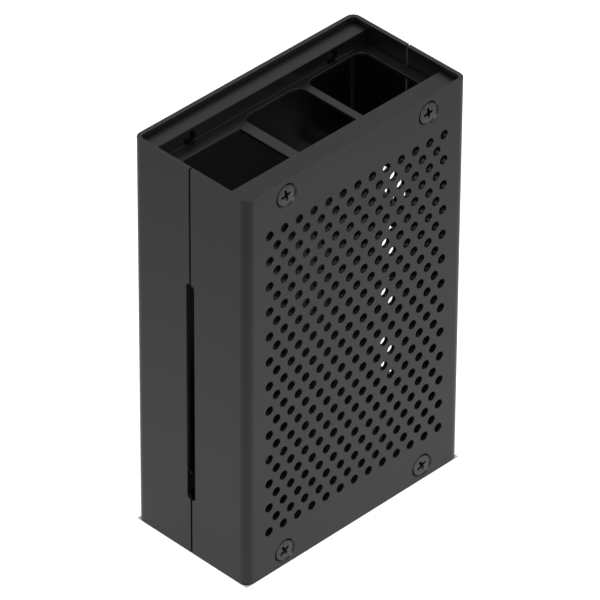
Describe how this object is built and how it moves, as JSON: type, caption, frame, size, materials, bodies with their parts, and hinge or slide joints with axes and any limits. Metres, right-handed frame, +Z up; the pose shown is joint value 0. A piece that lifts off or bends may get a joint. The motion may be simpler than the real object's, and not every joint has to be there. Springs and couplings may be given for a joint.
{
  "type": "single board computer case",
  "caption": "Slim vented aluminium case for a credit-card-size single board computer, standing on its card end, with jack windows, a ribbon slot and countersunk screws.",
  "frame": {"origin": "centre of the case's footprint, on the plane of the lower rims that it stands on", "axes": "+Z up along the case's length towards the port end, -Y out of the vented front face, -X towards the wall with the ribbon slot"},
  "size_m": [0.062, 0.0322, 0.0966],
  "materials": {
    "shell": "satin black anodised",
    "block": "satin black anodised",
    "case_screw": "black oxide",
    "standoff": "nickel plated"
  },
  "bodies": {
    "root": {"front_shell": "shell", "back_shell": "shell", "port_end_block": "block", "card_end_block": "block", "front_screw_top_left": "case_screw", "back_screw_top_left": "case_screw", "standoff_top_left": "standoff", "standoff_screw_top_left": "case_screw", "front_screw_top_right": "case_screw", "back_screw_top_right": "case_screw", "standoff_top_right": "standoff", "standoff_screw_top_right": "case_screw", "front_screw_bottom_left": "case_screw", "back_screw_bottom_left": "case_screw", "standoff_bottom_left": "standoff", "standoff_screw_bottom_left": "case_screw", "front_screw_bottom_right": "case_screw", "back_screw_bottom_right": "case_screw", "standoff_bottom_right": "standoff", "standoff_screw_bottom_right": "case_screw"}
  },
  "joints": []
}
